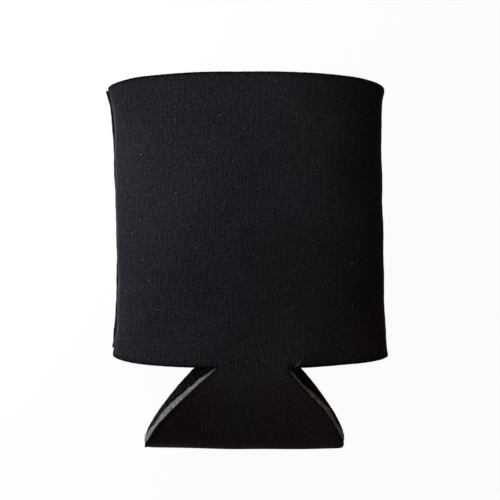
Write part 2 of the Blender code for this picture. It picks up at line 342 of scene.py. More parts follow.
def cutDistance():
    # distance in the cloth to the nearest cut edge: a mouth, a hem beside the neck, a raw side edge or the
    # flap's side
    u, v = flat[..., 0], flat[..., 1]
    mouths = np.minimum(np.abs(v - v[:1]), np.abs(v - v[-1:]))
    sides = np.abs(np.where(u < 0, u[:, :1], u[:, -1:])) - np.abs(u)
    hems = np.minimum(np.abs(v - v[hemBack]), np.abs(v - v[hemFront]))
    past = np.clip(sleeve["neckHalf"] - np.abs(u), 0, None)
    hems = np.where((columnNumber < neckLeft) | (columnNumber > neckRight), hems, np.hypot(hems, past))
    flapSides = pinch["slant"] * (np.abs(u[:, neckRight : neckRight + 1]) - np.abs(u))
    return np.where(inPanel, np.minimum(np.minimum(mouths, sides), hems), flapSides)


cutEdge = cutDistance()
pressed = np.where(shown, pinch["deep"] * bump(cutEdge, 0, pinch["reach"]), 0)
points = points - normals * pressed[..., None]

# painted light and shade of the black cloth, with its uneven tone, warm cast and loop contrast: shade above 0
# is darker, below 0 paler. A pair is where a change starts and its length, a list holds (x, amount), a spot is
# (x, y, reach, amount) in mm, and rows count from the near hem.
paintedShading = {
    "edgeReach": 0.00082, "leftEdgeMore": 0.6, "leftEdge": (0.036, 0.010), "flapEdge": (0.5, 0.00050),
    "seamDark": 0.8, "seamFrom": (-0.0008, 0.0010), "seamLength": 0.0006,
    "bend": (-0.0022, 0.0011), "bendMiddle": 0.75, "bendClear": (0.0008, 0.0090),
    "foldReach": 0.0046, "foldClear": 0.0006,
    "fold": [(-0.028, 3.3), (-0.020, 2.5), (-0.008, 2.0), (0.010, 1.1)],
    "mouthDark": 0.17, "mouthBand": (0.040, 0.020), "mouthAcross": 0.030, "mouthRange": (-0.4, 1),
    "fromFold": 0.35, "atFold": 0.2, "fromHem": 0.30,
    "flap": [(-0.020, 0.11), (0.008, -0.055), (0.016, -0.10)],
    "flapMiddle": [
        (-0.027, 0.12), (-0.020, 0.03), (-0.013, -0.04), (-0.004, -0.08), (0.005, -0.10), (0.014, -0.15),
    ],
    "spots": [
        (-17.9, -6.6, 10, 0.18), (2.6, 2.2, 12, 0.12), (28.8, -2.0, 10, 0.09), (-41.2, 56.2, 12, 0.14),
        (37.6, 61.3, 8, 0.30), (26.6, 21.5, 13, -0.15), (16.4, 49.0, 12, -0.10), (36.5, -27.7, 10, -0.13),
        (16.4, -28.0, 10, -0.07), (-27.4, 21.5, 14, -0.04), (-41.2, -0.4, 10, 0.10), (-6.5, 50.6, 10, 0.14),
        (-14.8, -11.5, 9, 0.11), (37.0, 21.0, 8, -0.08), (38.0, -25.0, 7, -0.09), (1.7, 0.9, 6, 0.07),
        (10.0, 9.2, 6, 0.08),
    ],
    "raised": [(-0.035, 1.0), (-0.012, 1.02), (0.0, 1.08), (0.010, 1.08), (0.018, 0.92), (0.036, 0.64)],
    "contrastLess": [(0.12, -0.005, 0.025), (0.15, 0.040, 0.020)], "flapContrast": 0.42,
    "brown": (0.38, 0.52), "brownLeft": (0.006, 0.014), "brownRows": 16, "brownLow": 0.50, "brownLowRows": 2.2,
    "brownFold": (0.16, 2.5), "brownCorner": 0.6, "cornerFrom": (0.014, 0.008), "brownHem": 0.15,
    "hemFrom": (0.005, 0.030), "brownPanel": [(-0.020, 0.14), (0, 0.03), (0.028, 0), (0.040, 0.14)],
    "liningDark": 0.35, "liningReach": 0.0022, "liningPale": 0.15,
}


def paintedShade(x, y, foldHighlight):
    # darker along the cut edges, and painted shade in the valleys where the cloth is drawn into the side seams
    stretch, _, hand = columnPlan()
    edgeColumn = int(np.argmax((stretch == 2) & (hand > 0))) - 1
    ownEdge = np.where(hand < 0, -flat[:, lastColumn - edgeColumn, None, 0], flat[:, edgeColumn, None, 0])
    pastArc = np.abs(flat[..., 0]) - ownEdge
    seamFrom = np.where(rowNumber > hemFront, paintedShading["seamFrom"][1], paintedShading["seamFrom"][0])
    valleyShade = paintedShading["seamDark"] * ease(pastArc, seamFrom, paintedShading["seamLength"])
    # painted shade: near the mouth's left corner the dark edge band is wider, where that edge faces the lamp
    edgeReach = paintedShading["edgeReach"] * (1 + paintedShading["leftEdgeMore"] * ease(-x, *paintedShading["leftEdge"]) * (y > 0))
    shade = np.maximum(bump(cutEdge, 0, edgeReach), valleyShade)
    # painted highlight where the cloth turns over the side edges, most at their ends, and a painted highlight
    # along the fold
    ends = np.abs(2 * (y + middleOf[1]) / sleeve["panelHeight"] - 1)
    edgeHighlight = bump(pastArc, *paintedShading["bend"]) * (paintedShading["bendMiddle"] + (1 - paintedShading["bendMiddle"]) * ends) * inPanel
    edgeHighlight = edgeHighlight * ease(cutEdge, *paintedShading["bendClear"])
    dark, reach = paintedShading["flapEdge"]
    shade = np.where(inPanel, shade, dark * bump(cutEdge, 0, reach)) - (1 - shade) * edgeHighlight
    shade = shade - foldHighlight * ease(cutEdge, 0, paintedShading["foldClear"])
    # darker towards the mouth's left and paler towards its right, with soft darker and paler spots
    across = np.clip(-x / paintedShading["mouthAcross"], *paintedShading["mouthRange"])
    panelTone = paintedShading["mouthDark"] * ease(y, *paintedShading["mouthBand"]) * across
    for spotX, spotY, reach, amount in paintedShading["spots"]:
        far = (1000 * x - spotX) ** 2 + (1000 * y - spotY) ** 2
        panelTone = panelTone + amount * np.exp(-far / reach**2)
    # on the flap paler on the right than on the left, with a tone of its own between the fold and the hem
    flapTone = byPlace(x, paintedShading["flap"])
    fromFold = np.clip((rowNumber - hemBack - foldRow) / (paintedShading["fromFold"] * foldRow), paintedShading["atFold"], 1)
    fromHem = ease(hemFront - rowNumber, 0, paintedShading["fromHem"] * foldRow)
    flapTone = flapTone + (byPlace(x, paintedShading["flapMiddle"]) - flapTone) * fromFold * fromHem
    return shade + np.where(inPanel, panelTone, flapTone)


def loopContrastByPlace(x, y):
    # painted light: the loops' colour contrast, and their bumps, are greatest in the middle of the panels and
    # least on the right and on the flap, where the light shows them less
    keep = 1
    for less, start, length in paintedShading["contrastLess"]:
        keep = keep - less * ease(y, start, length)
    return np.where(inPanel, byPlace(x, paintedShading["raised"]) * keep, paintedShading["flapContrast"])


def warmShadeCast(x, y, foldHighlight):
    # a painted warm cast, standing for the warm light in shade: on the flap most on its left and least along
    # the fold, and a little on the panels
    rows = (hemFront - rowNumber) / paintedShading["brownRows"]
    (least, more), (share, most) = paintedShading["brown"], paintedShading["brownFold"]
    flapBrown = (least + more * ease(-x, *paintedShading["brownLeft"])) * np.clip(rows, 0, 1)
    flapBrown = np.maximum(flapBrown, paintedShading["brownLow"] * np.clip(rows - paintedShading["brownLowRows"], 0, 1))
    flapBrown = flapBrown * (1 - share * np.clip(foldHighlight, 0, most))
    corner = paintedShading["brownCorner"] * ease(-x, *paintedShading["cornerFrom"]) * np.clip(foldHighlight, 0, 1)
    panelBrown = paintedShading["brownHem"] * ease(-y, *paintedShading["hemFrom"]) + byPlace(x, paintedShading["brownPanel"])
    return np.where(inPanel, panelBrown, flapBrown * (1 - corner))


def paintedBlank():
    x, y = np.nan_to_num(points[..., 0]), np.nan_to_num(points[..., 1])
    # a painted highlight along the fold, strongest on its left, where the light reaches it
    foldLine = flat[hemBack + foldRow, :, 1][None]
    foldHighlight = byPlace(x, paintedShading["fold"]) * bump(flat[..., 1], foldLine, paintedShading["foldReach"]) * ~inPanel
    return {"shade": paintedShade(x, y, foldHighlight), "raised": loopContrastByPlace(x, y), "brown": warmShadeCast(x, y, foldHighlight)}


paintedAmounts = paintedBlank()
# the lining beside the flap is paler at its cut edge than farther in: painted light at the edge and painted
# shade farther in, under the foam
liningLightAndShade = paintedShading["liningDark"] * ease(cutEdge, 0, paintedShading["liningReach"]) - paintedShading["liningPale"]
paintedLining = dict(paintedAmounts, shade=paintedAmounts["shade"] + np.where(inPanel, 0, liningLightAndShade))
print("blank:", points.shape, "mm", np.round(1000 * np.ptp(points[shown], axis=0), 1))


def outlineOf():
    # (row, column) of every vertex round the blank's cut edge, once round, from corner to corner
    corners = np.array([
        (0, 0), (0, lastColumn), (hemBack, lastColumn), (hemBack, neckRight), (hemFront, neckRight),
        (hemFront, lastColumn), (lastRow, lastColumn), (lastRow, 0), (hemFront, 0), (hemFront, neckLeft),
        (hemBack, neckLeft), (hemBack, 0),
    ])
    pairs = zip(corners, np.roll(corners, -1, 0))
    legs = [np.linspace(a, b, np.abs(b - a).max(), endpoint=False) for a, b in pairs]
    return np.rint(np.concatenate(legs)).astype(int).T


edgeRows, edgeColumns = outlineOf()
edgePoints, edgeNormals = points[edgeRows, edgeColumns], normals[edgeRows, edgeColumns]
edgeAlong = unit(np.roll(edgePoints, -1, 0) - np.roll(edgePoints, 1, 0))
edgeOutward = unit(np.cross(edgeAlong, edgeNormals))


# on the near half of the flap the foam's cut face leans out from under the cloth: how far, from neck to fold
leanOut = {  # mm
    "left": [0.0, -0.1, 0.15, 0.35, 0.35, 0.3, 0.5, 0.6, 0.15, -0.3, 0.05, 0.2, 0.1, 0],
    "right": [0.2, 0.55, 0.85, 0.65, 0.4, 0.6, 0.6, 0.75, 0.4, 0.25, 0.65, 0.75, 0.7, 0.5],
}
leanFade = 0.30  # past the fold it fades away over this share of the flap
fromNeck = (hemFront - edgeRows) / foldRow
leftOut, rightOut = (np.interp(fromNeck, flapShares, out) * 0.001 for out in leanOut.values())
pastFold = np.clip(1 - (fromNeck - 1) / leanFade, 0, 1) ** 2
onFlap = (edgeRows > hemBack) & (edgeRows < hemFront)
slant = np.where(onFlap, np.where(edgeColumns == neckLeft, leftOut, rightOut) * pastFold, 0)
slant = slant * np.clip((hemFront - edgeRows) / 2, 0, 1)


def placed(name, data):
    made = bpy.data.objects.new(name, data)
    bpy.context.scene.collection.objects.link(made)
    return made


def meshObject(name, vertices, faces, uv=None, sharp=None, amounts=None):
    mesh = bpy.data.meshes.new(name)
    mesh.from_pydata(vertices.tolist(), [], [face for block in faces for face in block.tolist()])
    if uv is not None:
        corner = np.empty(len(mesh.loops), dtype=np.int32)
        mesh.loops.foreach_get("vertex_index", corner)
        mesh.uv_layers.new(name="clothFlat").data.foreach_set("uv", uv[corner].ravel())
    for amount, values in (amounts or {}).items():
        mesh.attributes.new(amount, "FLOAT", "POINT").data.foreach_set("value", values)
    mesh.shade_smooth()
    if sharp:
        mesh.set_sharp_from_angle(angle=math.radians(sharp))
    return placed(name, mesh)


def layerShell(name, top, bottom, rim, seed, paintedAmounts):
    # a closed sheet between two depths under the outer face; its cut edge bulges, uneven as cut cloth or foam
    number = np.full(shown.shape, -1)
    number[shown] = np.arange(shown.sum())
    count, edgeCount, steps = shown.sum(), len(edgeRows), rim["steps"]
    upper, lower = points - normals * top[..., None], points - normals * bottom[..., None]
    draw = np.random.default_rng(seed)
    share = np.linspace(0, 1, steps + 1)[:, None]
    shape = rim["proud"] + rim["bulge"] * 4 * share * (1 - share)
    rough = draw.normal(0, 1, (steps + 1, edgeCount))
    rough = (rough + np.roll(rough, 1, 1)) / 2 * rim["rough"]
    slow = rim["slow"] * np.sin(np.arange(edgeCount) / 7.3 + 1.7 * np.sin(np.arange(edgeCount) / 19.0))
    push = shape + rough + slow + slant * (rim["slant"][0] + (rim["slant"][1] - rim["slant"][0]) * share)
    topEdge = upper[edgeRows, edgeColumns][None]
    rimPoints = topEdge + (lower[edgeRows, edgeColumns][None] - topEdge) * share[..., None]
    rimPoints = rimPoints + edgeOutward[None] * push[..., None]
    upper[edgeRows, edgeColumns], lower[edgeRows, edgeColumns] = rimPoints[0], rimPoints[-1]
    vertices = np.concatenate([upper[shown], lower[shown], rimPoints[1:-1].reshape(-1, 3)])
    uv = np.concatenate([flat[shown], flat[shown], np.tile(flat[edgeRows, edgeColumns], (steps - 1, 1))])
    amounts = {
        amount: np.concatenate([values[shown], values[shown], np.ones((steps - 1) * edgeCount)])
        for amount, values in paintedAmounts.items()
    }
    a, b, c, d = number[:-1, :-1], number[:-1, 1:], number[1:, 1:], number[1:, :-1]
    quads = np.stack([a, b, c, d], -1).reshape(-1, 4)
    quads = quads[(quads >= 0).all(1) & ~cutOut[:-1, :-1].ravel()]
    edge = number[edgeRows, edgeColumns]
    inside = 2 * count + np.arange((steps - 1) * edgeCount).reshape(steps - 1, edgeCount)
    ring = np.concatenate([edge[None], inside, edge[None] + count])
    following = np.roll(ring, -1, 1)
    sides = np.stack([ring[:-1], ring[1:], following[1:], following[:-1]], -1).reshape(-1, 4)
    faces = [quads, quads[:, ::-1] + count, sides]
    return meshObject(name, vertices, faces, uv, 50, amounts)


# the faces beside the flap, between the two hems, belong to no part of the blank
cutOut = np.zeros(shown.shape, dtype=bool)
cutOut[hemBack:hemFront] = True
cutOut[hemBack:hemFront, neckLeft:neckRight] = False

total = sleeve["thickness"] * lofts - 2 * pressed
clothThick = sleeve["cloth"] * (0.5 + 0.5 * lofts)
overlap = 0.00003
# cut edges, in metres: how proud, bulging and uneven each is, and its share of the foam's lean, out and in
clothRim = {"steps": 3, "proud": 0.00003, "bulge": 0.00003, "rough": 0.00003, "slow": 0.00003, "slant": (0, 0)}
foamRim = {"steps": 10, "proud": -0.00008, "bulge": 0.00016, "rough": 0.00012, "slow": 0.00006, "slant": (0, 1)}
liningRim = dict(clothRim, slant=(1, 1))
foamDepths = clothThick - overlap, total - clothThick + overlap
outerCloth = layerShell("knit_outside", 0 * total, clothThick, clothRim, 11, paintedAmounts)
foamCore = layerShell("foam_between", *foamDepths, foamRim, 12, paintedAmounts)
liningCloth = layerShell("knit_lining", total - clothThick, total, liningRim, 13, paintedLining)
print("layers:", [len(piece.data.polygons) for piece in (outerCloth, foamCore, liningCloth)])


def tubes(paths, radius, sides, name):
    # round tubes along many paths at once, (how many, points, 3), with one radius or one for each point
    how, count, _ = paths.shape
    along = unit(np.gradient(paths, axis=1))
    aside = np.zeros_like(along)
    least = np.argmin(np.abs(along).mean(1), axis=1)
    aside[np.arange(how)[:, None], np.arange(count)[None], least[:, None]] = 1
    first = unit(np.cross(along, aside))
    second = np.cross(along, first)
    angle = np.arange(sides) / sides * 2 * np.pi
    radius = np.broadcast_to(np.asarray(radius, dtype=float), (how, count))[..., None, None]
    ring = first[:, :, None] * np.cos(angle)[:, None] + second[:, :, None] * np.sin(angle)[:, None]
    vertices = (paths[:, :, None] + radius * ring).reshape(-1, 3)
    number = np.arange(how * count * sides).reshape(how, count, sides)
    a, b = number[:, :-1], number[:, 1:]
    walls = np.stack([a, np.roll(a, -1, 2), np.roll(b, -1, 2), b], -1).reshape(-1, 4)
    faces = [walls, number[:, 0, ::-1].reshape(-1, sides), number[:, -1].reshape(-1, sides)]
    return meshObject(name, vertices, faces, sharp=70)


def softened(path, times):
    # corner cutting: each pass puts two points on every stretch, a quarter in from its ends
    for _ in range(times):
        a, b = path[:-1], path[1:]
        cut = np.stack([0.75 * a + 0.25 * b, 0.25 * a + 0.75 * b], 1).reshape(-1, 3)
        path = np.concatenate([path[:1], cut, path[-1:]])
    return path


# loop ends of the knit along the cut edges that can be seen: both mouths, both hems and the flap's sides
loopEnds = {
    "pitch": 0.00078, "width": 0.00027, "reach": 0.00013, "yarn": 0.00006, "sink": 0.00002,
    "scatter": 0.2, "sizes": (0.5, 1.5), "tilt": 0.5,
}


def edgeLoops(name, depth, seed):
    # a half ring of yarn at every wale: it leaves the cut edge, turns and goes back in
    draw = np.random.default_rng(seed)
    onSide = ((edgeColumns == 0) | (edgeColumns == lastColumn)) & (edgeRows > 0) & (edgeRows < lastRow)
    base = edgePoints - edgeNormals * depth[edgeRows, edgeColumns][:, None]
    reach = np.concatenate([[0], np.cumsum(np.linalg.norm(np.diff(base, axis=0), axis=1))])
    place = np.arange(0, reach[-1], loopEnds["pitch"])
    place = place + draw.uniform(-1, 1, len(place)) * loopEnds["scatter"] * loopEnds["pitch"]
    picked = np.clip(np.searchsorted(reach, place), 0, len(base) - 1)
    place, picked = place[~onSide[picked]], picked[~onSide[picked]]
    centre = np.stack([np.interp(place, reach, base[:, i]) for i in range(3)], -1)
    tangent, normal, outward = edgeAlong[picked], edgeNormals[picked], edgeOutward[picked]
    turn = np.linspace(0, np.pi, 6)[None, :, None]
    size = draw.uniform(*loopEnds["sizes"], (len(place), 1, 1))
    tilt = draw.uniform(-loopEnds["tilt"], loopEnds["tilt"], (len(place), 1, 1))
    sideways = np.cos(turn) * loopEnds["width"] * tangent[:, None]
    out = (np.sin(turn) * loopEnds["reach"] * size - loopEnds["sink"]) * outward[:, None]
    up = np.sin(turn) * loopEnds["reach"] * tilt * normal[:, None]
    return tubes(centre[:, None] + sideways + out + up, loopEnds["yarn"], 4, name)


outerLoops = edgeLoops("knit_outside_edge", clothThick * 0.5, 21)
liningLoops = edgeLoops("knit_lining_edge", total - clothThick * 0.5, 22)

# overlocking of each side seam: one thread zigzags over both faces of the allowances and their raw edges,
# needle stitches run beside the turned edge, and bars cross the valley outside
overlock = {
    "pitch": 0.0026, "reach": 0.0036, "radius": 0.00017, "clear": 0.00006, "inset": 0.0036, "edge": 0.0002,
    "needle": 0.00013, "needleIn": 0.0007, "needleSink": 0.001,
    "barOut": 0.0002, "barHalf": 0.0007, "barLean": 0.001,
}


def seamStitching(name, hand):
    radius, clear, needle = overlock["radius"], overlock["clear"], overlock["needle"]
    start = sleeve["panelHeight"] - sleeve["seamPull"] - overlock["inset"]
    end = sleeve["seamPull"] + overlock["inset"]
    wraps = int(round((start - end) / overlock["pitch"]))
    pitch = (start - end) / wraps
    face = sleeve["seamGap"] / 2 + sleeve["thickness"] * sleeve["sewnLoft"] + radius + clear
    over, edge, reach = radius + clear, overlock["edge"], overlock["reach"]

    def turned(y):
        return halfWidth(y, hand) - sleeve["edgeRadius"]

    def seamPoints(x, y, z):
        points = np.stack([hand * x + leaning(y), y, sleeve["seamHeight"] + z + 0 * y], -1)
        return points - np.array([*middleOf, 0])

    # one stitch: (distance in from the raw edge, share of the pitch, share of the face's height)
    stitch = np.array([
        (-over, 0.00, 0.0), (-over, 0.00, 0.9), (edge, 0.02, 1.0), (reach, 0.22, 1.0), (reach, 0.28, 1.0),
        (edge, 0.48, 1.0), (-over, 0.50, 0.9), (-over, 0.50, -0.9), (edge, 0.52, -1.0), (reach, 0.72, -1.0),
        (reach, 0.78, -1.0), (edge, 0.98, -1.0), (-over, 1.00, -0.9),
    ])
    y = start - pitch * (np.arange(wraps)[:, None] + stitch[:, 1])
    path = seamPoints(turned(y) - sleeve["allowance"] + stitch[:, 0], y, stitch[:, 2] * face)
    thread = tubes(softened(path.reshape(-1, 3), 2)[None], radius, 6, name)
    # a needle stitch: (share of the pitch, height over the face in sinks), on both faces
    rows = start - pitch * (np.arange(wraps)[:, None] + 0.5)
    bend = np.array([(-0.42, -0.35), (-0.36, 0.0), (0.0, 0.02), (0.36, 0.0), (0.42, -0.35)])
    y = rows + bend[:, 0] * pitch
    height = face - radius + needle + bend[:, 1] * overlock["needleSink"]
    runs = [seamPoints(turned(y) - overlock["needleIn"], y, up * height) for up in (1, -1)]
    y = rows + np.array([-0.3, -0.1, 0.1, 0.3]) * overlock["barLean"]
    height = np.array([-1, -0.33, 0.33, 1]) * overlock["barHalf"]
    bars = seamPoints(turned(y) + overlock["barOut"], y, height)
    needles = tubes(np.concatenate(runs), needle, 5, name + "_needle")
    return thread, needles, tubes(bars, needle, 5, name + "_valley")


seams = {side: seamStitching(side + "_overlock", hand) for side, hand in (("left", -1), ("right", 1))}
print("threads:", [len(piece.data.polygons) for piece in seams["left"]])

# loose lint that the photo shows: (x, y, length) in millimetres, direction in degrees and share of the radius
flecks = {"radius": 0.000042, "over": 0.00006, "arch": 0.3, "curl": 0.5, "places": [
    (-24.3, 25.5, 0.9, 70, 1.6), (-43.2, -9.8, 0.8, 30, 1.2), (-40.5, 10.9, 0.6, 90, 1.1),
    (-37.4, -18.5, 0.9, 70, 1.1), (36.6, 0.6, 0.8, 60, 1.1), (28.8, -51.7, 0.6, 90, 1.2),
    (25.9, -47.4, 0.6, 90, 1.2), (23.3, -45.4, 0.9, 140, 1.0), (29.5, -52.7, 0.7, 90, 1.1),
    (-41.5, 38.0, 0.8, 30, 1.0), (-9.1, 52.7, 0.6, 90, 1.0), (37.1, -14.7, 0.8, 70, 1.0),
    (-24.8, 51.0, 1.2, 90, 0.9), (-33.8, -5.1, 0.9, 150, 1.0), (3.3, 3.5, 0.6, 90, 0.9),
    (-18.0, 6.8, 1.0, 50, 0.9), (-36.5, 1.8, 0.6, 90, 0.8), (-38.0, 15.9, 0.6, 90, 0.8),
    (29.6, -54.0, 0.7, 90, 0.9), (9.9, 64.7, 0.8, 130, 0.9), (-30.8, -15.2, 0.6, 90, 0.8),
    (4.7, 33.4, 0.6, 90, 0.8), (31.9, -57.9, 0.7, 90, 0.8), (-37.5, 39.3, 0.8, 130, 0.8),
    (-1.2, 47.6, 0.6, 90, 0.8), (-9.7, 57.4, 0.8, 50, 0.8), (-20.9, -9.2, 0.6, 90, 0.8),
    (-30.0, -11.2, 0.9, 130, 0.8),
]}
strand = {
    "radius": 0.00005, "ends": [(16.4, -34.9), (18.5, -32.0)], "bow": 0.00025, "lift": 0.0004, "over": 0.0001,
}
nap = {
    "how many": 2200, "radius": 0.000012, "length": 0.00028, "sizes": (0.5, 1.5),
    "lift": 0.6, "lifts": (0.3, 1.0), "curl": 0.6, "sink": 0.00003,
    "least": {"loft": 0.7, "height": 0.002, "cut edge": 0.0006},
}


def napFibres(draw, drawShapes):
    # short curved hairs: each starts in the cloth, leaves it by its lift and bends over sideways
    least, how = nap["least"], nap["how many"]
    visible = shown & (lofts > least["loft"]) & (np.nan_to_num(points[..., 2]) > least["height"])
    visible = visible & (cutEdge > least["cut edge"])
    picked = draw.choice(visible.sum(), how, replace=False)
    start, up = points[visible][picked], normals[visible][picked]
    way = unit(np.cross(up, drawShapes.normal(0, 1, (how, 3))))
    bend = unit(np.cross(up, way))
    share = np.linspace(0, 1, 5)[None, :, None]
    size = nap["length"] * drawShapes.uniform(*nap["sizes"], (how, 1, 1))
    rise = nap["lift"] * drawShapes.uniform(*nap["lifts"], (how, 1, 1)) * np.sin(np.pi * share * 0.6)
    curl = drawShapes.uniform(-nap["curl"], nap["curl"], (how, 1, 1)) * share**2
    path = start[:, None] + size * (share * way[:, None] + curl * bend[:, None] + rise * up[:, None])
    return tubes(path - nap["sink"] * up[:, None], nap["radius"], 3, "knit_nap")


def frontPlace(x, y):
    # the vertex of the upper panel and the flap's near half that lies nearest under each (x, y), in metres
    rows = slice(hemBack + foldRow, None)
    plan = np.nan_to_num(points[rows, :, :2].reshape(-1, 2), nan=9.0)
    nearest = [np.argmin((plan[:, 0] - a) ** 2 + (plan[:, 1] - b) ** 2) for a, b in zip(x, y)]
    return points[rows].reshape(-1, 3)[nearest], normals[rows].reshape(-1, 3)[nearest]


def lintFlecks(draw):
    # short arched fibres that lie on the cloth
    x, y, length, angle, size = (np.array(flecks["places"]) * [0.001, 0.001, 0.001, math.pi / 180, 1]).T
    base, up = frontPlace(x, y)
    way = unit(np.stack([np.cos(angle), np.sin(angle), 0 * angle], -1))
    share = np.linspace(-0.5, 0.5, 7)[None, :, None]
    arch = (0.25 - share**2) * length[:, None, None]
    path = base[:, None] + share * length[:, None, None] * way[:, None]
    path = path + (flecks["over"] + flecks["arch"] * arch) * up[:, None]
    curl = flecks["curl"] * arch * draw.uniform(-1, 1, (len(base), 1, 1))
    return tubes(path + curl * np.cross(way, up)[:, None], flecks["radius"] * size[:, None], 6, "lint_flecks")


def strandOver():
    # one long fibre over the near hem, right of the neck, bowed aside and up, and thin at both ends
    (start, end), (up, _) = frontPlace(*(np.array(strand["ends"]) * 0.001).T)
    share = np.linspace(0, 1, 15)[:, None]
    bow = strand["bow"] * unit(np.cross(end - start, up)) + strand["lift"] * up
    path = start + (end - start) * share + 4 * share * (1 - share) * bow + strand["over"] * up
    thin = strand["radius"] * np.sin(np.pi * (0.08 + 0.84 * share[None, :, 0]))
    return tubes(path[None], thin, 6, "loose_strand")


draw = np.random.default_rng(31)
napHairs = napFibres(draw, np.random.default_rng(32))
lint = lintFlecks(draw)
looseStrand = strandOver()
print("hairs:", len(napHairs.data.polygons), len(lint.data.polygons))


def newFinish(name):
    finish = bpy.data.materials.new(name)
    finish.use_nodes = True
    return finish, finish.node_tree, finish.node_tree.nodes["Principled BSDF"]


def setInputs(tree, node, values):
    # an input takes a link where the value is a socket, and a constant where it isn't
    for key, value in values.items():
        if isinstance(value, bpy.types.NodeSocket):
            tree.links.new(value, node.inputs[key])
        else:
            node.inputs[key].default_value = (*value, 1.0) if node.inputs[key].type == "RGBA" else value


def addNode(tree, kind, values=None, **settings):
    node = tree.nodes.new(kind)
    for key, value in settings.items():
        setattr(node, key, value)
    setInputs(tree, node, values or {})
    return node


def maths(tree, kind, *values):
    return addNode(tree, "ShaderNodeMath", dict(enumerate(values)), operation=kind).outputs[0]


def scaled(tree, value, share, start):
    # the value times a share, plus a start
    return maths(tree, "MULTIPLY_ADD", value, share, start)


def spread(tree, value, *ends):
    # a value brought from one span to another: (from, from, to, to)
    return addNode(tree, "ShaderNodeMapRange", dict(enumerate((value, *ends)))).outputs[0]


def ramp(tree, factor, stops):
    node = addNode(tree, "ShaderNodeValToRGB", {"Fac": factor})
    band = node.color_ramp
    while len(band.elements) < len(stops):
        band.elements.new(0.5)
    for element, (place, colour) in zip(band.elements, stops):
        element.position, element.color = place, (*colour, 1.0)
    return node.outputs["Color"]


def mixed(tree, factor, a, b, kind="MULTIPLY"):
    settings = {"data_type": "RGBA", "blend_type": kind}
    return addNode(tree, "ShaderNodeMix", {0: factor, 6: a, 7: b}, **settings).outputs[2]


def noiseAt(tree, vector, scale, detail=2.0, rough=0.5):
    values = {"Vector": vector, "Scale": scale, "Detail": detail, "Roughness": rough}
    return addNode(tree, "ShaderNodeTexNoise", values).outputs["Fac"]


def objectCoords(tree):
    return addNode(tree, "ShaderNodeTexCoord").outputs["Object"]


def amountAt(tree, name):
    return addNode(tree, "ShaderNodeAttribute", attribute_name=name).outputs["Fac"]


def dress(tree, surface, colour, height, bumps, values):
    # base colour, and bumps (strength, distance) from a height
    relief = addNode(tree, "ShaderNodeBump", {"Height": height, "Strength": bumps[0], "Distance": bumps[1]})
    setInputs(tree, surface, {"Base Color": colour, "Normal": relief.outputs[0], **values})


def knitHeight(tree, knit, objectPlace):
    # loops in staggered columns, as the sum of a cosine across the wales and two aslant through the courses;
    # its strength comes and goes over a few millimetres, with streaks along the wales and fibre noise on top
    place = addNode(tree, "ShaderNodeUVMap", uv_map="clothFlat").outputs["UV"]
    axes = addNode(tree, "ShaderNodeSeparateXYZ", {0: place}).outputs
    u, v = (
        scaled(tree, noiseAt(tree, objectPlace, knit["wanderScale"] * ratio, 3.0), knit["wander"], axis)
        for ratio, axis in zip(knit["wanderRatios"], axes)
    )
    across = maths(tree, "MULTIPLY", u, 2 * math.pi / knit["wale"])
    along = maths(tree, "MULTIPLY", v, 2 * math.pi / knit["course"])
    half = maths(tree, "MULTIPLY", across, 0.5)
    angles = across, maths(tree, "ADD", half, along), maths(tree, "SUBTRACT", half, along)
    wales, rising, falling = (maths(tree, "COSINE", angle) for angle in angles)
    slanted = scaled(tree, falling, 1 - knit["twill"], maths(tree, "MULTIPLY", rising, knit["twill"]))
    drift = noiseAt(tree, objectPlace, knit["driftScale"])
    loops = scaled(tree, wales, spread(tree, drift, *knit["waleBand"], knit["waleShare"]), slanted)
    patches = noiseAt(tree, objectPlace, knit["fadeScale"])
    strength = scaled(tree, patches, knit["fade"], knit["lattice"] - 0.5 * knit["fade"])
    raised = amountAt(tree, "raised")
    height = scaled(tree, loops, maths(tree, "MULTIPLY", strength, raised), 0.5)
    drawn = {0: u, 1: maths(tree, "MULTIPLY", v, knit["streakDrawn"]), 2: 0.0}
    drawnPlace = addNode(tree, "ShaderNodeCombineXYZ", drawn).outputs[0]
    noises = {
        "streak": (drawnPlace, knit["streakFine"] / knit["wale"], 1.0),
        "uneven": (place, knit["unevenFine"] / knit["wale"], 1.0),
        "fibre": (objectPlace, knit["fibreScale"], 2.0, 0.7),
    }
    for name, values in noises.items():
        height = scaled(tree, maths(tree, "SUBTRACT", noiseAt(tree, *values), 0.5), knit[name], height)
    return scaled(tree, maths(tree, "SUBTRACT", height, 0.5), scaled(tree, raised, 0.5, 0.5), 0.5)


def knitFinish(name, knit):
    finish, tree, surface = newFinish(name)
    objectPlace = objectCoords(tree)
    height = knitHeight(tree, knit, objectPlace)
    broad = noiseAt(tree, objectPlace, knit["patchScale"], 3.0, 0.6)
    # the colour follows the loops' height: darker down between the loops, which is painted shade, with broad
    # random tints
    colour = mixed(tree, 1.0, ramp(tree, height, knit["stops"]), ramp(tree, broad, knit["tints"]))
    specks = noiseAt(tree, objectPlace, knit["speckScale"], 1.0)
    specks = spread(tree, specks, *knit["speckBand"], 0.0, knit["speck"])
    colour = mixed(tree, specks, colour, knit["speckColour"], "MIX")
    # shade above 0 darkens: the cut edges and the painted shade in the side seams' valleys; shade below 0
    # pales: the painted highlights along the turned side edges and the fold, and the paler tones
    shade = amountAt(tree, "shade")
    tone = scaled(tree, maths(tree, "MAXIMUM", shade, 0.0), -knit["darken"], 1.0)
    tone = scaled(tree, maths(tree, "MINIMUM", shade, 0.0), -knit["paleGain"], tone)
    colour = mixed(tree, 1.0, colour, tone)
    # the brown amount paints a warm cast, standing for the warm light in shade
    colour = mixed(tree, amountAt(tree, "brown"), colour, knit["brown"])
    dress(tree, surface, colour, height, (knit["bump"], knit["relief"]), {
        "Roughness": scaled(tree, height, -knit["gloss"], knit["roughness"]),
        "Specular IOR Level": knit["specular"], "Sheen Weight": knit["sheen"],
        "Sheen Roughness": knit["sheenRoughness"], "Sheen Tint": knit["sheenTint"],
    })
    return finish


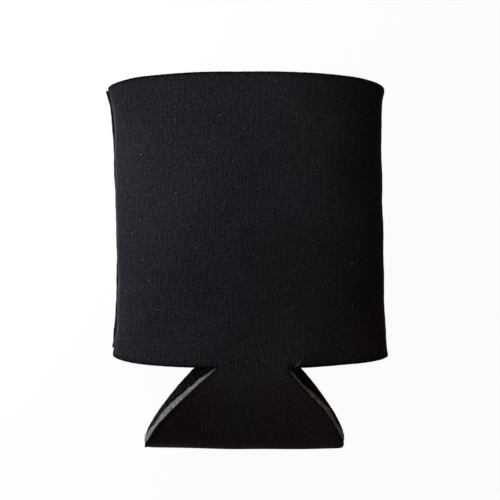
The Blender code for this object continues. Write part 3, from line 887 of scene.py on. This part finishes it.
outsideKnit = {
    "wale": 0.00077, "course": 0.00086, "waleShare": 1.1, "driftScale": 75.0, "waleBand": (0.40, 0.60, 0.25),
    "twill": 0.32, "lattice": 0.27, "fade": 0.5, "fadeScale": 330.0, "wander": 0.0007, "wanderScale": 470.0,
    "wanderRatios": (1, 1.37), "streak": 0.42, "streakFine": 1.1, "streakDrawn": 0.14, "uneven": 0.80,
    "unevenFine": 0.9, "fibre": 1.2, "fibreScale": 4600.0, "patchScale": 30.0,
    "tints": [(0.3, (0.94, 0.99, 1.06)), (0.7, (1.06, 1.0, 1.02))],
    "stops": [
        (0.10, (0.0042, 0.0042, 0.0049)), (0.5, (0.0129, 0.0129, 0.0148)), (0.95, (0.036, 0.0364, 0.0412)),
    ],
    "speckScale": 1700.0, "speck": 0.35, "speckBand": (0.68, 0.78), "speckColour": (0.07, 0.07, 0.075),
    "darken": 0.82, "paleGain": 1.8, "brown": (1.0, 0.55, 0.50), "roughness": 0.95, "gloss": 0.15,
    "bump": 0.7, "relief": 0.00018, "specular": 0.01, "sheen": 0.02, "sheenRoughness": 0.45,
    "sheenTint": (0.6, 0.65, 0.75),
}
liningKnit = dict(
    outsideKnit, waleShare=0.3, wander=0.0009, wanderScale=420.0, fibre=0.8, patchScale=620.0, lattice=0.12,
    stops=[(0.1, (0.0045, 0.0048, 0.0055)), (0.55, (0.023, 0.0245, 0.0275)), (0.95, (0.075, 0.078, 0.084))],
    tints=[(0.42, (0.43, 0.46, 0.54)), (0.62, (1.58, 1.55, 1.52))], bump=0.9, relief=0.00030, brown=(1, 1, 1),
)
foamCut = {
    "cellScale": 1750.0, "fineScale": 4200.0, "fine": 0.5, "bump": 0.6, "relief": 0.00020, "roughness": 0.95,
    "specular": 0.15, "stops": [(0.35, (0.020, 0.020, 0.016)), (0.95, (0.199, 0.196, 0.167))],
    "patchScale": 400.0, "patches": [(0.33, (0.66, 0.65, 0.62)), (0.67, (1.2, 1.2, 1.17))],
    "sideLightBand": 0.025, "sideLight": [(0.0, (0.86, 0.85, 0.93)), (1.0, (1.12, 1.085, 0.94))],
}


def foamFinish(name, foam):
    # open cells: rounded pits from the distance to scattered points, darker inside as painted shade, with broad
    # uneven tone, and a painted change of light from left to right: darker and bluer on the left, paler and
    # yellower on the right
    finish, tree, surface = newFinish(name)
    objectPlace = objectCoords(tree)
    cells = addNode(tree, "ShaderNodeTexVoronoi", {"Vector": objectPlace, "Scale": foam["cellScale"]})
    fine = noiseAt(tree, objectPlace, foam["fineScale"], 2.0, 0.6)
    height = scaled(tree, fine, foam["fine"], cells.outputs["Distance"])
    patches = noiseAt(tree, objectPlace, foam["patchScale"])
    x = addNode(tree, "ShaderNodeSeparateXYZ", {0: objectPlace}).outputs[0]
    side = spread(tree, x, -foam["sideLightBand"], foam["sideLightBand"])
    colour = mixed(tree, 1.0, ramp(tree, height, foam["stops"]), ramp(tree, patches, foam["patches"]))
    colour = mixed(tree, 1.0, colour, ramp(tree, side, foam["sideLight"]))
    values = {"Roughness": foam["roughness"], "Specular IOR Level": foam["specular"]}
    dress(tree, surface, colour, height, (foam["bump"], foam["relief"]), values)
    return finish


def threadFinish(name, colours, pitch, sheen):
    # spun yarn: fine slanting plies from a wave along one axis, with uneven tone
    finish, tree, surface = newFinish(name)
    wave = {"Vector": objectCoords(tree), "Scale": pitch, "Distortion": 3.0, "Detail": 2.0}
    plies = addNode(tree, "ShaderNodeTexWave", wave, bands_direction="DIAGONAL").outputs["Fac"]
    colour = ramp(tree, plies, [(0.1, colours[0]), (0.9, colours[1])])
    values = {"Roughness": 0.7, "Specular IOR Level": 0.2, "Sheen Weight": sheen}
    dress(tree, surface, colour, plies, (0.5, 0.00005), values)
    return finish


outsideFinish = knitFinish("black outside knit", outsideKnit)
liningFinish = knitFinish("black lining knit", liningKnit)
foamGrey = foamFinish("grey open foam", foamCut)
blackThread = threadFinish("black sewing thread", ((0.006, 0.006, 0.007), (0.026, 0.026, 0.029)), 900.0, 0.1)
# the yarn of the edge loops and hairs is painted darker than the knit: painted shade where the lamp would light
# it
edgeYarn = threadFinish("black knit yarn", ((0.003, 0.003, 0.0035), (0.015, 0.015, 0.017)), 1500.0, 0.1)
paleLint = threadFinish("pale lint", ((0.10, 0.10, 0.11), (0.34, 0.35, 0.36)), 1500.0, 0.0)
print("finishes made")

# what each piece is: its finish, the record's slot, and the solid that it stands for
pieces = [
    (outerCloth, outsideFinish, "black_knit", "outer_cloth"),
    (foamCore, foamGrey, "grey_foam", "foam_core"),
    (liningCloth, liningFinish, "black_lining", "lining_cloth"),
    (seams["left"][0], blackThread, "black_thread", "left_seam_thread"),
    (seams["right"][0], blackThread, "black_thread", "right_seam_thread"),
    (outerLoops, edgeYarn, "black_knit", None),
    (liningLoops, edgeYarn, "black_lining", None),
    *((stitches, blackThread, "black_thread", None) for side in seams for stitches in seams[side][1:]),
    (napHairs, edgeYarn, "black_knit", None),
    (lint, paleLint, "black_knit", None),
    (looseStrand, paleLint, "black_knit", None),
]
for piece, finish, slotName, node in pieces:
    piece.data.materials.append(finish)
    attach(piece, "root")
    if node:
        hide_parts(node)


def seenDirectly(tree):
    # 1 for the camera and for reflections and views through glass, 0 for all other light
    path = addNode(tree, "ShaderNodeLightPath")
    seen = path.outputs["Is Camera Ray"]
    for ray in ("Is Glossy Ray", "Is Transmission Ray"):
        seen = maths(tree, "MAXIMUM", seen, path.outputs[ray])
    return seen


def whiteFloor(half, drop, own):
    # a white sheet of table: mostly its own white to the camera, so that only a faint shadow shows
    mesh = bpy.data.meshes.new("tableTop")
    corners = [(half * x, half * y, -drop) for x, y in ((-1, -1), (1, -1), (1, 1), (-1, 1))]
    mesh.from_pydata(corners, [], [(0, 1, 2, 3)])
    finish, tree, surface = newFinish("white table")
    setInputs(tree, surface, {"Base Color": (0.86, 0.86, 0.86), "Roughness": 0.9, "Specular IOR Level": 0.0})
    glow = addNode(tree, "ShaderNodeEmission", {"Color": (1, 1, 1), "Strength": 1.0}).outputs[0]
    share = maths(tree, "MULTIPLY", seenDirectly(tree), own)
    both = addNode(tree, "ShaderNodeMixShader", {0: share, 1: surface.outputs[0], 2: glow})
    tree.links.new(both.outputs[0], tree.nodes["Material Output"].inputs["Surface"])
    mesh.materials.append(finish)
    placed("tableTop", mesh)


def whiteWorld(level, tint):
    # white to the camera and in reflections, and a low even warm light on everything else
    world = bpy.data.worlds.new("plain room")
    bpy.context.scene.world = world
    world.use_nodes = True
    tree = world.node_tree
    seen = seenDirectly(tree)
    setInputs(tree, tree.nodes["Background"], {
        "Strength": scaled(tree, seen, 1.0 - level, level),
        "Color": mixed(tree, seen, tint, (1, 1, 1), "MIX"),
    })


def softLamp(name, place, aim, sizes, power, tint):
    # an oblong lamp whose first size lies level
    lamp = bpy.data.lights.new(name, "AREA")
    lamp.shape, lamp.size, lamp.size_y, lamp.energy, lamp.color = "RECTANGLE", *sizes, power, tint
    holder = placed(name, lamp)
    holder.location = place
    way = np.array(aim) - np.array(place)
    turn = math.atan2(way[0], -way[1]) + math.pi
    holder.rotation_euler = (math.atan2(math.hypot(way[0], way[1]), -way[2]), 0, turn)


whiteFloor(3.0, 0.0001, 0.955)
whiteWorld(0.18, (1.0, 0.67, 0.59))
softLamp("windowLamp", (-0.17, 0.10, 0.125), (0, 0.02, 0.02), (0.34, 0.10), 0.98, (0.78, 0.90, 0.96))

# the photo's view: 670 pixels of focal length on a picture 500 pixels wide
camera = bpy.data.cameras.new("photoView")
camera.sensor_width = 36.0
camera.lens = 670 / 500 * camera.sensor_width
camera.shift_x, camera.shift_y = 0.076, -0.064
camera.clip_start = 0.01
cameraHolder = placed("photoView", camera)
cameraHolder.location = (-0.01205, 0.0168, 0.266)
bpy.context.scene.camera = cameraHolder
bpy.context.scene.view_settings.view_transform = "Standard"
